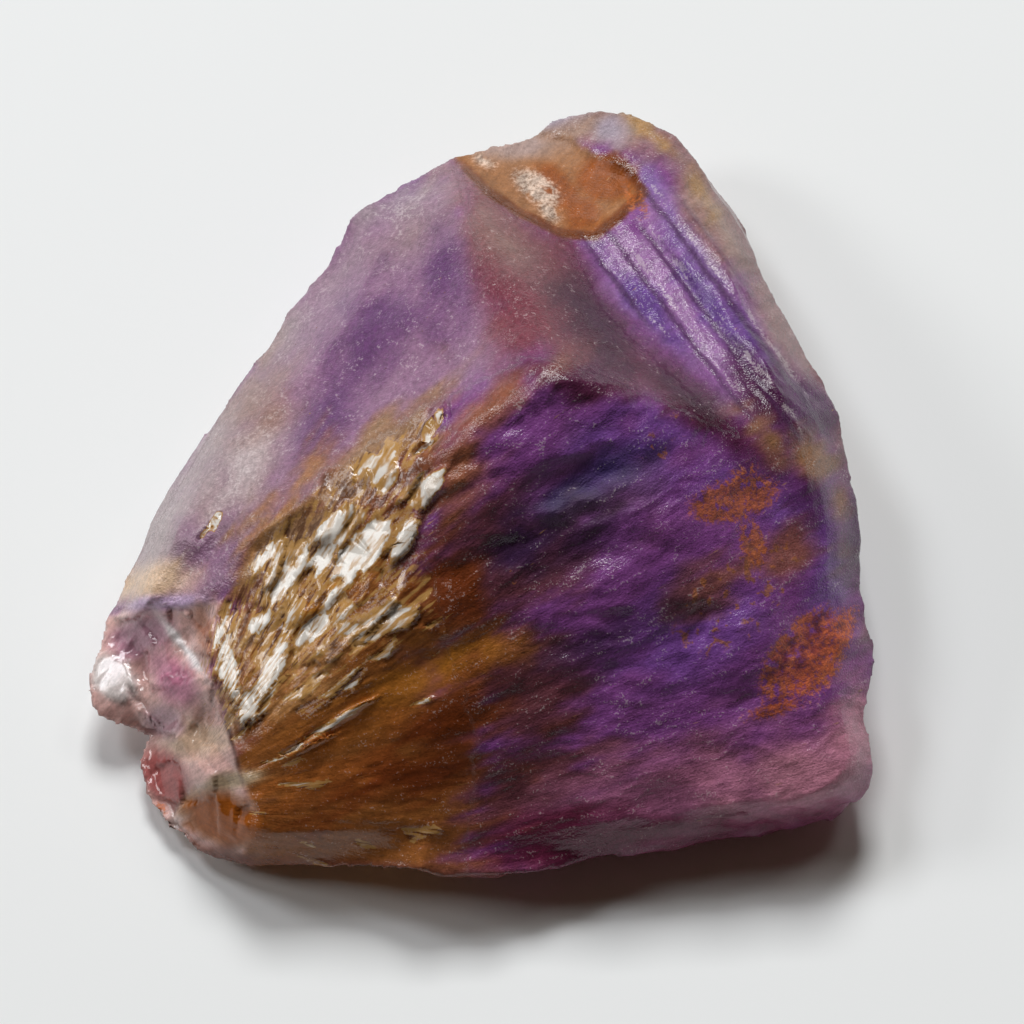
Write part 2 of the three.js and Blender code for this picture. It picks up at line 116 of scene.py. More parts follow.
# The colours over the body's purple, from the body outwards: colour, softness of its edge in mm, how far
# streaks along the fracture break that edge in mm, and the outlines and patches that it covers
BODY_PURPLE = "#84488C"
COLOURS = [
    # The purple face
    ("#6A3A44", 2.4, 1.4, [
        (-0.6, -2.4, 4.4, 3.0, 35), (0.4, -8.6, 3.0, 2.6, 25), (1.0, -13.4, 4.0, 2.4, 10),
    ]),
    ("#7E4C9C", 2.2, 1.0, [(7.4, 4.4, 2.6, 1.4, -20), (9.8, 1.8, 2.4, 1.0, 0), (8.4, -5.6, 3.6, 2.4, 25)]),
    ("#7C4E9E", 2.0, 0.6, [
        (13.8, -0.6, 2.0, 1.6, -30), (15.2, -3.6, 0.9, 2.4, 0), (4.4, 3.6, 2.2, 0.9, 28),
    ]),
    ("#8C5450", 1.6, 0.9, [(13.2, -1.8, 1.4, 1.2, 30), (9.4, -3.6, 2.2, 0.8, 35)]),
    ("#352260", 1.8, 0.6, [(2.0, 0.4, 2.4, 0.8, 32), (4.8, 2.2, 1.6, 0.5, 30)]),
    ("#43284C", 2.0, 0.7, [(0.4, -1.6, 2.8, 1.3, 30), (3.4, -1.2, 1.6, 0.8, 25), (4.6, -6.0, 2.0, 0.5, 25)]),
    ("#A8668A", 3.2, 1.0, [PINK_FOOT]),
    ("#DC94AC", 2.6, 0.3, [(13.6, -13.0, 3.6, 1.8, 20), (16.6, -10.4, 1.2, 2.2, 0)]),
    ("#702848", 1.6, 0.6, [(3.0, -15.8, 4.4, 1.5, 5), (11.5, -15.4, 5.0, 0.8, 9)]),
    # The lilac face
    ("#9A7290", 2.0, 0.5, [LILAC_FACE]),
    ("#B8A4A6", 2.2, 0.3, [(-15.4, 2.4, 8.5, 0.9, 57), (-17.4, -1.0, 4.0, 1.5, 55)]),
    ("#A09098", 1.8, 0.3, [(-5.2, 15.9, 2.6, 0.6, 30)]),
    ("#A4888C", 2.4, 0.5, [(-12.6, 2.0, 3.0, 1.4, 55), (-5.0, 13.4, 2.0, 0.9, 40)]),
    # A painted sheen, pale where the lilac face catches the lamps
    ("#C2B0B2", 1.6, 0.5, [(-12.7, 2.6, 2.0, 0.8, 62)]),
    ("#6C4272", 2.6, 0.7, [(-7.0, 8.4, 3.4, 1.3, 68), (-8.8, 4.6, 2.4, 1.0, 60), (-3.2, 11.4, 1.0, 2.2, 0)]),
    ("#A07A70", 2.4, 0.4, [(-12.0, 5.6, 1.8, 1.2, 60), (-9.4, 1.4, 1.6, 0.8, 40)]),
    # The smoky face
    ("#7E3C4A", 2.4, 0.4, [SMOKY_FACE]),
    ("#96706A", 2.2, 0.3, [(-0.2, 13.0, 2.6, 0.9, -42), (-3.4, 17.0, 1.2, 0.8, 0)]),
    ("#3C0E2C", 2.8, 0.3, [(4.2, 9.0, 3.0, 1.2, -50), (8.4, 5.4, 4.2, 0.7, -38)]),
    # The ledged shelf, the rim beside it, and the crest below them
    ("#9C6CA4", 1.2, 0.6, [SHELF]),
    ("#6A4490", 1.2, 0.5, [
        (9.9, 9.8, 3.2, 0.6, -54), (6.4, 10.2, 2.4, 0.6, -50), (11.4, 8.8, 2.6, 0.5, -57),
    ]),
    ("#8A68A6", 1.0, 0.2, [(6.9, 16.2, 1.1, 0.7, -60), (8.8, 13.2, 2.4, 0.5, -56)]),
    ("#4C1E44", 1.6, 0.4, [(12.2, 5.6, 2.4, 1.2, -50)]),
    ("#582644", 1.4, 0.5, [(2.6, 6.4, 2.0, 0.9, -15)]),
    ("#966A6C", 1.6, 0.4, [RIM_BAND]),
    ("#561E58", 1.6, 0.4, [(17.0, -1.0, 3.4, 1.0, -85), (14.6, 5.2, 1.6, 1.1, -50)]),
    ("#AC8C7C", 1.4, 0.3, [(3.4, 19.2, 3.6, 1.2, 8), (10.6, 13.6, 2.4, 0.5, -60)]),
    ("#B4864C", 0.8, 0.4, [(7.0, 18.7, 2.2, 0.3, -42), (9.4, 15.8, 1.0, 0.25, -60)]),
    ("#AE9EAC", 1.0, 0.2, [(4.8, 19.0, 0.9, 0.9, 0), (2.6, 19.8, 2.2, 0.5, 12), (8.4, 19.4, 1.4, 0.4, -45)]),
    ("#9C7050", 1.2, 0.8, [
        (14.4, 2.8, 1.5, 0.8, -40), (12.4, 3.6, 1.2, 0.6, -40), (15.9, 0.4, 0.3, 0.9, 0),
    ]),
    # The amber band, and the pale lip above the glassy corner
    ("#9C6030", 3.8, 1.8, [AMBER]),
    ("#B8762A", 2.0, 1.0, [
        (-9.0, -3.6, 3.0, 1.2, 50), (-6.0, -9.0, 3.4, 0.8, 30), (-2.6, -7.0, 2.4, 1.0, 25),
    ]),
    ("#C08A54", 1.8, 1.2, [(-9.6, -7.4, 2.8, 1.0, 40), (-11.6, -1.4, 2.4, 0.6, 50)]),
    ("#7A3A1A", 2.6, 1.4, [
        (-3.2, -10.4, 2.6, 1.6, 35), (-6.6, -12.8, 4.4, 1.3, 15), (-2.6, -3.4, 1.4, 1.8, 50),
    ]),
    ("#BC7034", 1.8, 0.8, [(-10.0, -13.0, 2.4, 0.8, 20), (-8.4, -10.6, 3.0, 0.7, 25)]),
    ("#A07E62", 2.2, 1.0, [(-10.4, -2.4, 3.4, 1.2, 48), (-6.6, 2.6, 3.4, 0.8, 48)]),
    ("#9A5E44", 1.6, 0.5, [
        (-0.6, 5.0, 2.6, 0.5, 38), (-2.4, 2.2, 1.0, 2.2, -10), (-5.8, 0.6, 2.4, 0.5, 42),
    ]),
    ("#ECCAAA", 1.4, 0.2, [(-16.8, -3.4, 2.0, 0.8, 5), (-18.6, -3.6, 0.6, 0.9, -30)]),
    # The glassy corner
    ("#ECC0B8", 0.5, 0.0, [CORNER]),
    # A painted highlight: the white reflection of the left lamp on the knob's pane
    ("#F2E8E4", 0.5, 0.1, [(-19.3, -8.1, 1.4, 0.9, -45)]),
    ("#CDB0D2", 0.4, 0.1, [(-16.4, -4.35, 2.3, 0.36, 6)]),
    ("#C492A4", 0.9, 0.1, [(-17.9, -5.9, 1.5, 0.9, 25)]),
    ("#CE86A0", 1.0, 0.1, [(-16.4, -8.0, 1.4, 0.9, -50)]),
    ("#F4ECEC", 0.3, 0.06, [(-15.75, -6.6, 1.95, 0.2, -51)]),
    ("#B07C68", 0.4, 0.05, [(-14.8, -5.7, 1.4, 0.42, -78)]),
    ("#E6C4A8", 0.9, 0.2, [(-15.2, -10.9, 1.8, 1.0, 0)]),
    ("#CCA4AE", 0.9, 0.2, [(-16.8, -10.2, 0.9, 0.7, 0)]),
    ("#A05A58", 0.8, 0.1, [(-16.8, -12.8, 1.5, 1.0, -50)]),
    ("#C4B0AA", 0.4, 0.1, [(-15.7, -14.2, 1.3, 0.3, 57)]),
    ("#B29C80", 0.5, 0.15, [(-13.2, -12.8, 1.7, 0.4, 12)]),
    ("#98521C", 0.8, 0.2, [(-13.7, -14.8, 1.9, 1.2, -12)]),
    ("#8A5242", 0.7, 0.2, [(-14.4, -16.6, 3.0, 0.5, -14), (-7.0, -17.2, 6.0, 0.45, -3)]),
    ("#3C1C14", 0.3, 0.05, [(-13.45, -10.9, 1.4, 0.1, -75)]),
    # The rust-stained scar
    ("#9A6A44", 0.4, 0.3, [SCAR]),
    ("#8E4A14", 0.8, 0.3, [(4.6, 16.4, 1.4, 1.2, 0), (2.6, 15.6, 1.8, 0.7, -50), (3.4, 14.8, 1.0, 0.8, 0)]),
    ("#A58C84", 0.9, 0.2, [(0.4, 18.2, 2.2, 0.6, 0)]),
]
BROWNED = "#6A4044"  # what streaks of the lower purple face turn to
SCAR_EDGE = "#6E340C"
# Painted shade on the risers under the shelf's ledges
RISER_SHADE = "#4C2C50"

# Iron stains and chalky films on the surface, which are grainy: colour, size of the grains in mm, share
# of their patches that they cover, and the patches
STAINS = [
    ("#C8B4A4", 0.6, 0.8, [
        (1.2, 16.0, 1.5, 0.8, -35), (1.8, 14.8, 0.9, 0.5, -50), (-1.4, 17.4, 0.8, 0.4, -30),
    ]),
    ("#A85A24", 0.5, 0.7, [
        (6.1, 15.2, 0.9, 0.5, -60), (10.6, 0.6, 2.4, 1.1, 14), (11.6, -1.6, 1.4, 0.7, -70),
        (13.8, -6.8, 2.8, 1.4, 50),
    ]),
    ("#8C5530", 0.5, 0.36, [
        (12.6, -1.8, 1.6, 1.4, 0), (10.6, -4.2, 3.6, 2.0, 40), (7.4, 3.6, 1.6, 0.8, 40),
        (0.0, -3.2, 0.5, 0.5, 0),
    ]),
    ("#B4580C", 0.4, 0.85, [
        (15.0, -6.8, 2.8, 0.9, 55), (12.6, -9.4, 1.6, 0.4, 15), (-17.0, -14.4, 0.4, 0.4, 0),
    ]),
    ("#5C2010", 0.4, 0.5, [
        (14.8, -5.2, 1.1, 0.4, 65), (10.9, 1.7, 0.7, 0.25, 40), (13.6, -6.8, 1.2, 0.6, 40),
    ]),
    ("#C06A1A", 0.3, 0.6, [(15.4, -7.6, 1.6, 0.35, 58), (11.0, 1.9, 0.9, 0.3, 20)]),
]
OLD_RUST = "#94502A"

# Flat panes that catch a lamp: the patch, how far it stands out in mm, and the lamp that it mirrors
PANES = [
    ((-7.2, -1.9, 2.0, 0.8, 50), 0.06, "side"), ((-8.5, -0.6, 1.3, 0.5, 48), 0.02, "side"),
    ((-9.1, -2.2, 1.0, 0.5, 58), 0.0, "side"), ((-10.6, -3.15, 1.5, 0.5, 52), 0.03, "side"),
    ((-12.0, -5.25, 0.8, 0.4, 35), 0.03, "side"), ((-9.5, -5.6, 1.1, 0.6, 35), 0.0, "side"),
    ((-3.9, 3.8, 1.3, 0.4, 58), 0.03, "side"), ((-3.9, 1.1, 1.2, 0.4, 58), 0.05, "side"),
    ((-13.7, -7.2, 1.9, 0.5, -75), 0.04, "side"), ((-11.6, -7.7, 1.9, 0.5, 62), 0.05, "side"),
    ((-10.6, -11.5, 1.7, 0.16, 24), 0.04, "side"), ((-8.9, -10.3, 1.9, 0.16, 32), 0.04, "side"),
    ((-12.6, -9.4, 0.9, 0.5, 80), 0.04, "side"), ((-5.1, -1.3, 1.2, 0.4, 62), 0.0, "side"),
    ((-11.9, -2.2, 1.0, 0.3, 50), 0.02, "side"), ((-8.2, -3.6, 1.2, 0.34, 48), 0.02, "side"),
    ((-16.3, -7.9, 0.35, 0.1, 10), 0.02, "left"), ((-15.7, -6.3, 0.3, 0.12, 0), 0.02, "left"),
    ((-14.2, -0.4, 1.2, 0.24, 52), 0.02, "side"), ((-4.2, -9.0, 0.6, 0.18, 30), 0.04, "side"),
    ((-7.4, -8.2, 0.7, 0.16, 30), 0.05, "side"), ((-19.3, -8.1, 1.3, 0.85, -45), 0.1, "left"),
    ((-18.0, -9.4, 0.9, 0.26, -59), 0.05, "left"), ((-17.2, -10.1, 0.25, 0.2, 0), 0.1, "left"),
]
PANE_JAGS = 0.12  # how far the threads of the fracture break the panes' edges, in mm

# Where a painted sheen is laid on as pale frost, where the stone is clearest, where the glassy corner is
# cloudy, and where the purple face is dullest
SHEENS = [
    (-12.8, 2.8, 2.6, 0.9, 55), (-14.4, -0.6, 2.2, 0.5, 52), (-5.4, 15.0, 1.6, 0.8, 40),
    (-10.6, 9.0, 1.6, 0.4, 55),
]
CLEAR_EDGES = [(-15.6, 2.0, 12.0, 1.4, 57), (11.6, 14.4, 6.0, 1.4, -58), (15.6, -11.6, 3.0, 2.0, 30)]
CLOUDY = [
    (-15.75, -6.6, 1.95, 0.25, -51), (-14.8, -5.7, 1.4, 0.5, -78), (-15.7, -14.2, 1.3, 0.4, 57),
    (-13.2, -12.8, 1.7, 0.5, 12), (-16.8, -12.8, 1.4, 0.9, -50), (-13.7, -14.8, 1.8, 1.1, -12),
]
DULL = (4.0, 1.2, 3.6, 1.7, 15)
CORNER_LEFT_OF = -13.9  # panes left of this u are glass and not flakes

# The shelf's ledges: where they are measured from, how they run, and how far out each one lies in mm
SHELF_START = (3.0, 13.4)
LEDGE_BEARING = -54
LEDGES = [0.5, 1.7, 3.1, 4.4, 5.6]

# The fracture fans out from two places: where its lines meet, and how far out a step along the arc is one mm
AMBER_FAN = ((-16.6, -14.0), 11.0)
PURPLE_FAN = ((-32.0, -23.7), 40.0)

# The flat pieces that the surface broke in: length and width in mm
FLAKE = (2.1, 0.66)
FACET = (1.8, 1.4)
UNDER_PIECE = (2.8, 1.9)

# How high the fine relief stands, in mm
RELIEF = {
    "flakes": 0.2, "threads": 0.02, "ridges": 0.035, "feathers": 0.02, "ledge lines": 0.05,
    "fine ledge lines": 0.02, "crackle": 0.014, "facets": 0.15, "under pieces": 0.18, "under lines": 0.03,
}

# The layer of the noise that each wandering value, ripple and set of flat pieces is taken from
LAYER = {
    "under pieces": 1.0, "amber edge": 1.0, "bend": 2.0, "unevenness": 3.0, "flakes": 4.0, "threads": 5.0,
    "ridges": 6.0, "under bumps": 6.0, "fine ledge lines": 7.0, "feathers": 8.0, "ledge lines": 9.0,
    "crackle": 10.0, "drift": 11.0, "streaks": 12.0, "facets": 12.0, "under lines": 13.0, "stains": 20.0,
    "ledge chips": 31.0, "ledge course": 33.0,
}

# How much light each kind of surface lets through, and how rough it is
CLEARNESS = {"body": 0.2, "thin edges": 0.3, "corner": 0.34}
ROUGHNESS = {
    "purple": 0.24, "amber": 0.18, "smooth": 0.28, "corner": 0.06, "panes in the corner": 0.16,
    "stained": 0.5,
}


# Shaping helpers, which take arrays of u and v

def smooth_step(x, low, high):
    t = np.clip((x - low) / (high - low), 0, 1)
    return t * t * (3 - 2 * t)


def upper_share(rises):
    """What share of the upper side each point has, by how far its normal points up."""
    return smooth_step(rises, 0.0, 0.35)


def seen_at(points):
    """Where points of the stone, in mm, are seen: u to the right and v up the view."""
    drawn = points + np.array(DRAWN_AT)
    return drawn[:, 0], drawn[:, 1] * SIN_VIEW + drawn[:, 2] * COS_VIEW


def along_across(u, v, start, degrees):
    """Coordinates of (u, v) along and across a line from start at a bearing."""
    turn = math.radians(degrees)
    du = u - start[0]
    dv = v - start[1]
    return du * math.cos(turn) + dv * math.sin(turn), dv * math.cos(turn) - du * math.sin(turn)


def outline_depth(u, v, outline):
    """How far each (u, v) lies inside a closed outline, in mm, and less than 0 outside it."""
    inside = np.zeros(len(u), bool)
    nearest = np.full(len(u), np.inf)
    for (u1, v1), (u2, v2) in zip(outline, outline[1:] + outline[:1]):
        du = u2 - u1
        dv = v2 - v1
        if v1 != v2:
            inside ^= ((v1 > v) != (v2 > v)) & (u < du * (v - v1) / dv + u1)
        share = np.clip(((u - u1) * du + (v - v1) * dv) / (du * du + dv * dv), 0, 1)
        nearest = np.minimum(nearest, np.hypot(u - u1 - share * du, v - v1 - share * dv))
    return np.where(inside, nearest, -nearest)


def patch_depth(u, v, patch):
    """About how far each (u, v) lies inside an oval patch, in mm."""
    along, across = along_across(u, v, patch[:2], patch[4])
    radius = np.hypot(along / patch[2], across / patch[3])
    return (1 - radius) * min(patch[2], patch[3])


def place_depth(u, v, places):
    """How far each (u, v) lies inside the nearest of some outlines and patches."""
    depths = [(outline_depth if isinstance(place, list) else patch_depth)(u, v, place) for place in places]
    return np.max(depths, axis=0)


def wander(u, v, scale, layer, octaves=3):
    """A seeded wandering value for each point, mostly between -1 and 1. Scale is the wave's length in mm."""
    spots = np.column_stack([u / scale, v / scale, np.full(len(u), layer)])
    return np.array([noise.fractal(Vector(spot), 1.0, 2.0, octaves) for spot in spots])


def ripple(along, across, layer):
    """Sharp-crested ripples, mostly from -1 in the valleys to 1 on the crests."""
    spots = np.column_stack([along, across, np.full(len(along), layer)])
    return np.array([1 - 3.4 * abs(noise.noise(Vector(spot))) for spot in spots])


def fan(u, v, centre, reach):
    """Coordinates out from where the fracture's lines meet and around it, in mm."""
    du = u - centre[0]
    dv = v - centre[1]
    return np.hypot(du, dv), np.arctan2(dv, du) * reach


def flat_pieces(along, across, size, layer):
    """How far along and across its flat piece each point lies, and the piece's three chances from 0 to 1."""
    length, width = size
    spots = np.column_stack([along / length, across / width, np.full(len(along), layer)])
    found = np.zeros((len(along), 5))
    for i, spot in enumerate(spots):
        middle = noise.voronoi(Vector(spot))[1][0]
        found[i, 0] = (spot[0] - middle.x) * length
        found[i, 1] = (spot[1] - middle.y) * width
        found[i, 2:] = noise.cell_vector(middle * 91.7)
    return found.T


# How the stone broke

def direction(azimuth, elevation):
    """A unit vector by degrees right of straight behind the stone and degrees above the table."""
    turn = math.radians(azimuth)
    rise = math.radians(elevation)
    return Vector((math.sin(turn) * math.cos(rise), math.cos(turn) * math.cos(rise), math.sin(rise)))


def mirror_slope(lamp):
    """How a face must slope, to the right and to the back, to mirror a lamp to the camera."""
    middle = direction(*LAMPS[lamp][:2]) + Vector((0, -COS_VIEW, SIN_VIEW))
    return -middle.x / middle.z, -middle.y / middle.z


def amber_flakes(u, v, flaking, slopes):
    """The amber band's flakes and threads, and which of the flakes lie so that they mirror the side lamp."""
    out, around = fan(u, v, *AMBER_FAN)
    around = around + 0.5 * wander(u, v, 3.0, LAYER["bend"], 2)
    along, across, pick, lean, tilt = flat_pieces(out, around, FLAKE, LAYER["flakes"])
    upper_end = smooth_step(v - 0.45 * u, -6.4, -2.2)
    lit = (pick < 0.05 + 0.55 * upper_end) * flaking
    leans = []
    for chance, wanted, slope in zip((lean - 0.5, tilt - 0.5), mirror_slope("side"), slopes.T):
        to_lamp = np.clip(wanted + 0.06 * chance - slope, -0.3, 0.3)
        leans.append(np.where(lit > 0, to_lamp, 0.16 * chance))
    bearing = around / AMBER_FAN[1]
    du = along * np.cos(bearing) - across * np.sin(bearing)
    dv = along * np.sin(bearing) + across * np.cos(bearing)
    flakes = np.clip(leans[0] * du + leans[1] * dv, -RELIEF["flakes"], RELIEF["flakes"])
    flakes *= 0.15 + 0.85 * upper_end
    threads = ripple(out * 0.45, around * 2.6, LAYER["threads"])
    return {"flakes": flakes, "threads": threads, "lit": lit, "tilt": tilt, "upper_end": upper_end}


def corner_facets(u, v, inside):
    """The small facets of the glassy corner, in mm, for the points inside it."""
    facets = np.zeros(len(u))
    along, across, _, turned, tipped = flat_pieces(u[inside], v[inside], FACET, LAYER["facets"])
    leaning = 0.4 * (turned - 0.5) * along + 0.4 * (tipped - 0.5) * across
    facets[inside] = np.clip(leaning, -RELIEF["facets"], RELIEF["facets"])
    return facets


def fracture(u, v, slopes):
    """How the upper side broke: what share of each kind of surface each point has, and its relief in mm."""
    amber = smooth_step(place_depth(u, v, [AMBER]) + 0.8 * wander(u, v, 2.5, LAYER["amber edge"]), -0.8, 0.8)
    glassy = smooth_step(outline_depth(u, v, CORNER), 0, 0.4)
    smooth = smooth_step(place_depth(u, v, [LILAC_FACE, SMOKY_FACE]), -0.6, 1.0) * (1 - amber)
    shelf = smooth_step(outline_depth(u, v, SHELF), -0.3, 0.5)
    scar = smooth_step(outline_depth(u, v, SCAR), -0.2, 0.4)
    rough = (1 - glassy) * (1 - 0.9 * smooth) * (1 - shelf) * (1 - scar)
    band = amber_flakes(u, v, rough * amber, slopes)

    # The purple face broke in fine feathered ridges
    out, around = fan(u, v, *PURPLE_FAN)
    bend = 0.7 * wander(u, v, 3.0, LAYER["bend"], 2)
    ridges = ripple(out * 0.33, (around + bend) * 0.8, LAYER["ridges"])
    feathers = ripple(out * 0.6, (around + bend) * 2.1, LAYER["feathers"])

    along, across = along_across(u, v, SHELF_START, LEDGE_BEARING + 2)
    ledge_lines = RELIEF["ledge lines"] * ripple(
        along * 0.3, (across + 0.3 * bend) * 1.5, LAYER["ledge lines"])
    ledge_lines += RELIEF["fine ledge lines"] * ripple(along * 0.8, across * 3.2, LAYER["fine ledge lines"])
    crackle = ripple(u * 1.1, v * 1.1, LAYER["crackle"])

    feathered = RELIEF["ridges"] * ridges + RELIEF["feathers"] * feathers
    flaked = band["flakes"] + RELIEF["threads"] * band["threads"]
    relief = rough * (amber * flaked + (1 - amber) * feathered)
    relief += (0.05 * rough + 0.03 * smooth + 0.05 * scar) * wander(u, v, 1.1, LAYER["unevenness"])
    relief += shelf * ledge_lines + smooth * RELIEF["crackle"] * crackle
    relief += glassy * corner_facets(u, v, glassy > 0)

    # Bruised crests are frosty, and their pale frost also paints in the sparkle that they catch from the
    # lamps
    crests = 0.4 * smooth_step(ridges, 0.55, 0.95) + 0.3 * smooth_step(feathers, 0.5, 1.0)
    frost_and_glints = rough * (amber * 0.4 * smooth_step(band["threads"], 0.5, 1.0) + (1 - amber) * crests)
    frost_and_glints += 0.6 * smooth * smooth_step(crackle, 0.6, 1.0)
    # The shine is how strongly each flake that mirrors the side lamp is painted with a glint
    return {
        "amber": amber, "upper_amber": amber * band["upper_end"], "smooth": smooth, "relief": relief,
        "threads": band["threads"], "lit": band["lit"], "shine": band["lit"] * (0.3 + 0.7 * band["tilt"]),
        "frost_and_glints": frost_and_glints,
    }


def under_relief(points):
    """The coarser relief of the flanks and the resting face, in mm."""
    x, y, z = points.T
    along, across, _, lean, tilt = flat_pieces(x + 0.4 * z, y + 0.9 * z, UNDER_PIECE, LAYER["under pieces"])
    leaning = 0.34 * (lean - 0.5) * along + 0.34 * (tilt - 0.5) * across
    broken = np.clip(leaning, -RELIEF["under pieces"], RELIEF["under pieces"])
    lines = ripple((x - y) * 0.4, z * 1.6 + 0.3 * (x + y), LAYER["under lines"])
    bumps = 0.05 * wander(x + z, y, 0.9, LAYER["under bumps"])
    return (broken + RELIEF["under lines"] * lines + bumps) * smooth_step(z, 0.1, 0.9)


def set_panes(points, upper, jagged):
    """Lays the flat panes into the upper side."""
    u, v = seen_at(points)
    for patch, lift, lamp in PANES:
        slope = mirror_slope(lamp)
        share = upper * smooth_step(patch_depth(u, v, patch) + jagged, -0.04, 0.12)
        nearest = np.argmin(np.hypot(u - patch[0], v - patch[1]) + 9 * (1 - upper))
        offset = points - points[nearest]
        flat = lift + offset[:, 0] * slope[0] + offset[:, 1] * slope[1]
        points[:, 2] += share * np.clip(flat - offset[:, 2], -0.5, 0.5)


# The stone's mesh

def read_points(mesh):
    """A mesh's points in mm, one in a row."""
    points = np.zeros(len(mesh.vertices) * 3, np.float32)
    mesh.vertices.foreach_get("co", points)
    return points.reshape(-1, 3).astype(float) / MM


def evened(mesh, values, rounds):
    """Values at a mesh's points, spread to their neighbours so many times."""
    ends = np.zeros(len(mesh.edges) * 2, np.int32)
    mesh.edges.foreach_get("vertices", ends)
    start, stop = ends.reshape(-1, 2).T
    near = np.bincount(start, minlength=len(values)) + np.bincount(stop, minlength=len(values)) + 1.0
    for _ in range(rounds):
        spread = values.copy()
        for column in range(values.shape[1]):
            spread[:, column] += np.bincount(start, values[stop, column], len(values))
            spread[:, column] += np.bincount(stop, values[start, column], len(values))
        values = spread / near[:, None]
    return values


def apply_modifiers(piece):
    """Makes the piece's mesh the one that its modifiers show."""
    shown = piece.evaluated_get(bpy.context.evaluated_depsgraph_get())
    piece_mesh = bpy.data.meshes.new_from_object(shown)
    piece.modifiers.clear()
    piece.data = piece_mesh
    return piece_mesh


def fine_stone():
    """The stone's own mesh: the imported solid, merged, remeshed in even squares and worked over."""
    solid = bmesh.new()
    solid.from_mesh(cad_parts["ametrine"].data)
    bmesh.ops.remove_doubles(solid, verts=solid.verts, dist=MERGE_DISTANCE * MM)
    mesh = bpy.data.meshes.new("rough_stone")
    solid.to_mesh(mesh)
    solid.free()
    piece = bpy.data.objects.new("rough_stone", mesh)
    bpy.context.scene.collection.objects.link(piece)
    remesh = piece.modifiers.new("even squares", "REMESH")
    remesh.mode = "VOXEL"
    remesh.voxel_size = MESH_SIZE * MM
    even = apply_modifiers(piece)

    points = read_points(even)
    normals = np.array([vertex.normal for vertex in even.vertices])
    broad = evened(even, normals, 110)
    slopes = -broad[:, :2] / np.maximum(broad[:, 2:], 0.3)
    u, v = seen_at(points)
    broke = fracture(u, v, slopes)
    under = evened(even, under_relief(points)[:, None], 3)[:, 0]
    upper = upper_share(normals[:, 2])
    height = upper * broke["relief"] + (1 - upper) * under
    points += normals * height[:, None]
    set_panes(points, smooth_step(broad[:, 2], 0.05, 0.3), PANE_JAGS * broke["threads"])
    even.vertices.foreach_set("co", (points * MM).astype(np.float32).ravel())
    even.update()

    thin = piece.modifiers.new("fewer triangles where flat", "DECIMATE")
    thin.ratio = min(1, MOST_TRIANGLES / sum(len(face.vertices) - 2 for face in even.polygons))
    thinned = apply_modifiers(piece)
    thinned.shade_smooth()
    paint(thinned)
    return piece


# The stone's colours and finish, kept on its points

def srgb(hex_colour):
    """The three sRGB parts of a hex colour, from 0 to 1."""
    return np.array([int(hex_colour[i:i + 2], 16) / 255 for i in (1, 3, 5)])


def linear(colour):
    """Turns a hex colour, or rows of sRGB parts, to the linear parts that Blender counts in."""
    parts = srgb(colour) if isinstance(colour, str) else colour
    parts = np.where(parts <= 0.04045, parts / 12.92, ((parts + 0.055) / 1.055) ** 2.4)
    opaque = np.ones(parts.shape[:-1] + (1,))
    return np.concatenate([parts, opaque], axis=-1).tolist()


def tint(shade, share, colour):
    """Moves each point's colour towards another one, by its share."""
    shade += share[:, None] * (srgb(colour) - shade)


def keep(mesh, name, kind, values):
    """Keeps a value, vector or colour on each point of a mesh, for its material."""
    layer = mesh.attributes.new(name, kind, "POINT")
    slot = {"FLOAT": "value", "FLOAT_VECTOR": "vector", "FLOAT_COLOR": "color"}[kind]
    layer.data.foreach_set(slot, np.asarray(values, np.float32).ravel())


def zoned_colours(u, v, drift, streaks):
    """The colour of the quartz at each point, in sRGB parts."""
    shade = np.tile(srgb(BODY_PURPLE), (len(u), 1))
    for colour, softness, streaked, places in COLOURS:
        depth = place_depth(u, v, places) + 0.35 * softness * drift + streaked * streaks
        tint(shade, smooth_step(depth, -0.5 * softness, 0.5 * softness), colour)
    lower_purple = smooth_step(4.5 - v + 0.35 * u, -1.0, 2.0) * smooth_step(u, -6.0, -2.0)
    tint(shade, 0.16 * lower_purple * smooth_step(streaks + 0.4 * drift, 0.0, 0.6), BROWNED)
    return shade


def stain_films(u, v, upper):
    """How far iron stains and chalky films cover each point, and their colours."""
    stained = np.zeros(len(u))
    shade = np.tile(srgb(OLD_RUST), (len(u), 1))
    for number, (colour, grain, cover, patches) in enumerate(STAINS):
        speck = 0.5 + 0.5 * wander(u, v, grain, LAYER["stains"] + number)
        share = upper * smooth_step(place_depth(u, v, patches), -0.5, 0.4)
        share = share * smooth_step(speck, 0.85 - cover, 1.1 - cover)
        tint(shade, share, colour)
        stained = np.maximum(stained, share)
    return stained, shade


def ledge_edges(u, v):
    """The lips of the shelf's ledges, pale as bruised frost and as painted highlights, and the risers under
    them, painted dark as shade, as shares.
    """
    along, across = along_across(u, v, SHELF_START, LEDGE_BEARING)
    across = across + 0.1 * wander(u, v, 0.9, LAYER["ledge course"])
    shelf = smooth_step(outline_depth(u, v, SHELF), -0.2, 0.5)
    lip_frost_and_highlight = np.max([smooth_step(0.34 - np.abs(across - 0.28 - step), 0, 0.3) for step in LEDGES], axis=0)
    chipped = smooth_step(wander(along, across * 4, 1.2, LAYER["ledge chips"]), -0.5, 0.4)
    riser_shade = np.max([smooth_step(0.24 - np.abs(across + 0.12 - step), 0, 0.2) for step in LEDGES], axis=0)
    return lip_frost_and_highlight * shelf * chipped, riser_shade * shelf


